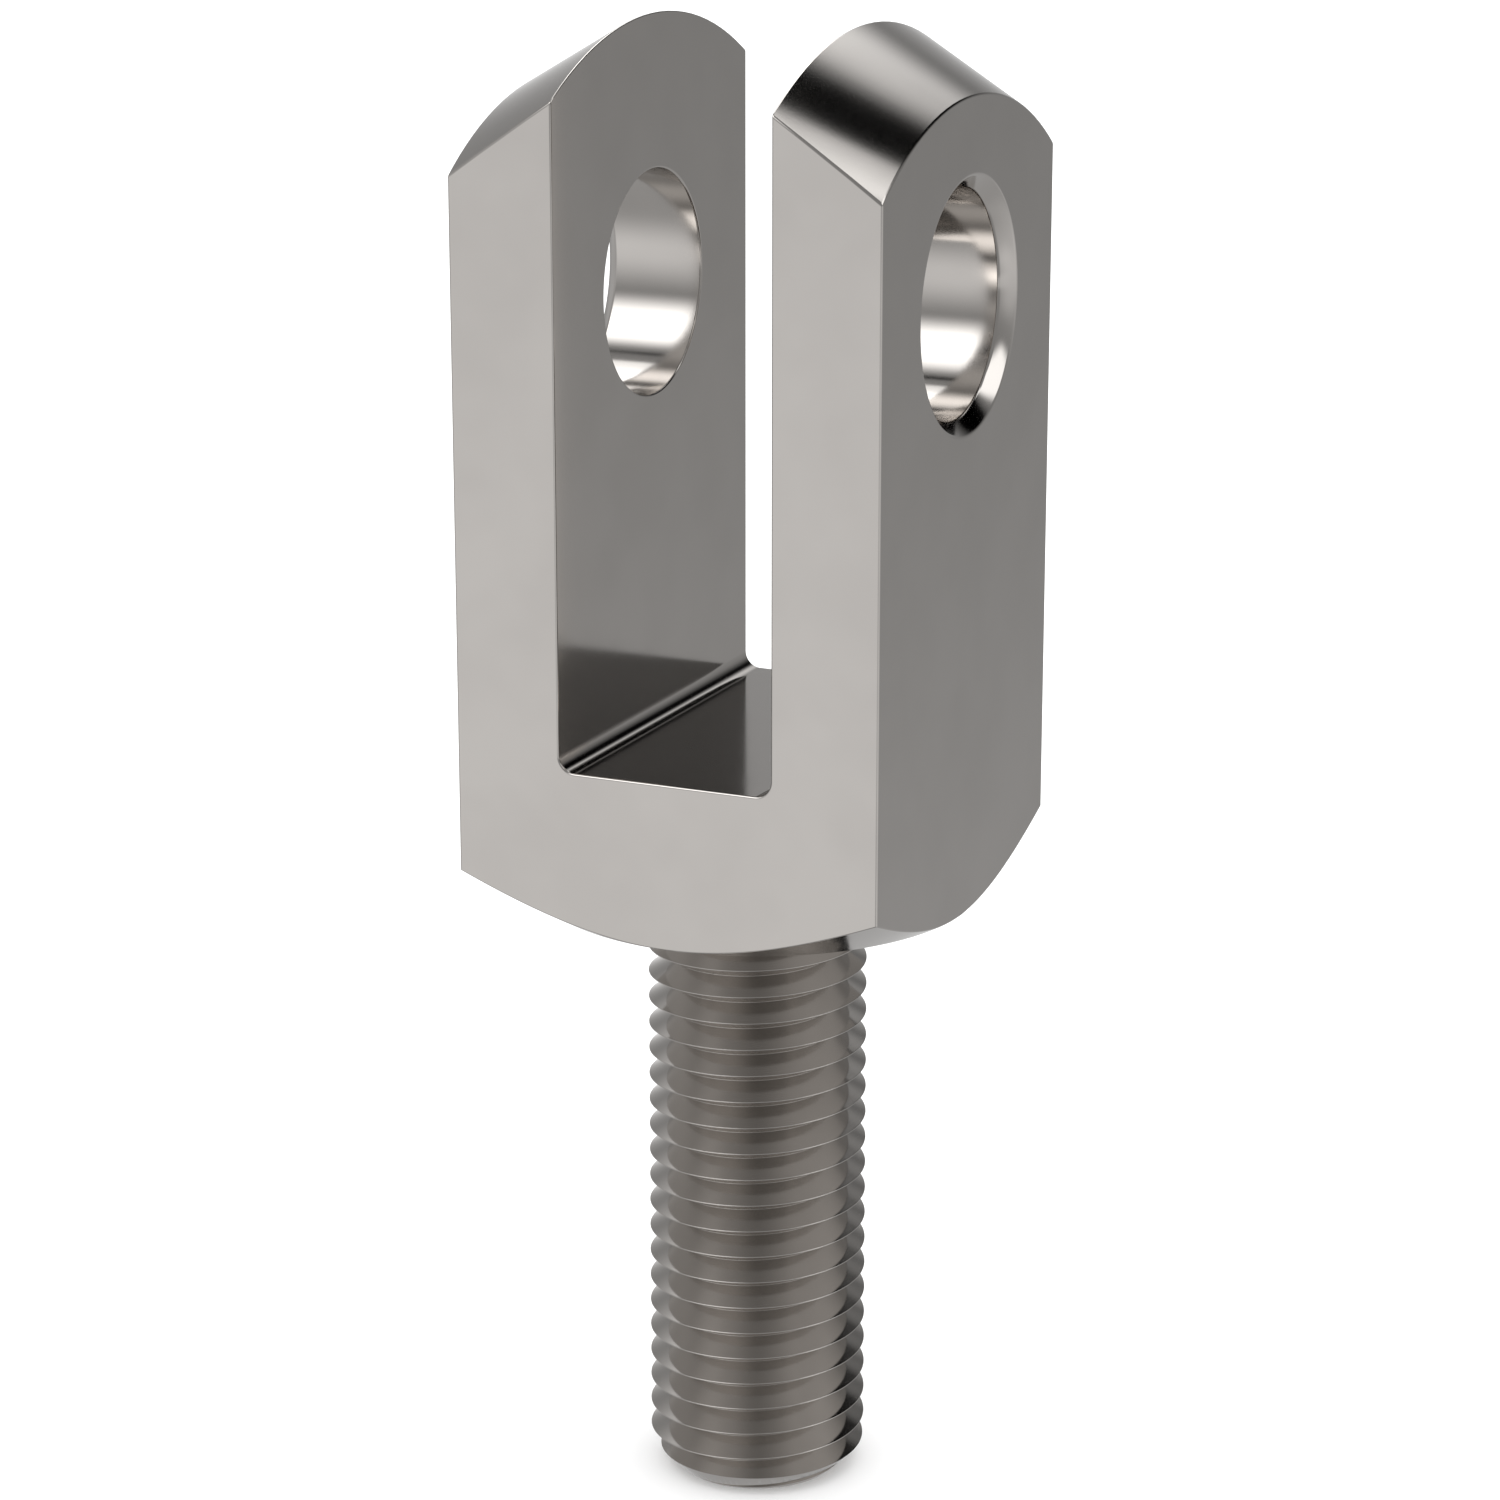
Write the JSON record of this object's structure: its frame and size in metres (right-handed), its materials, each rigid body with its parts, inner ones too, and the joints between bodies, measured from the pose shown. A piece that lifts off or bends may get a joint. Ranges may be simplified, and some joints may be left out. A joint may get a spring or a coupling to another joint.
{
  "type": "tension rod clevis",
  "caption": "Square steel fork end for a tension rod, with a cross bore for a pin, a through slot for a gusset plate and a threaded stud.",
  "frame": {"origin": "middle of the pin bore, midway between the two cheeks", "axes": "+X along the pin bore, +Y through the slot, +Z away from the stud towards the rounded crown"},
  "size_m": [0.04, 0.04, 0.1351],
  "materials": {
    "steel": "fine ground, satin bright"
  },
  "bodies": {
    "root": {"clevis": "steel"}
  },
  "joints": []
}
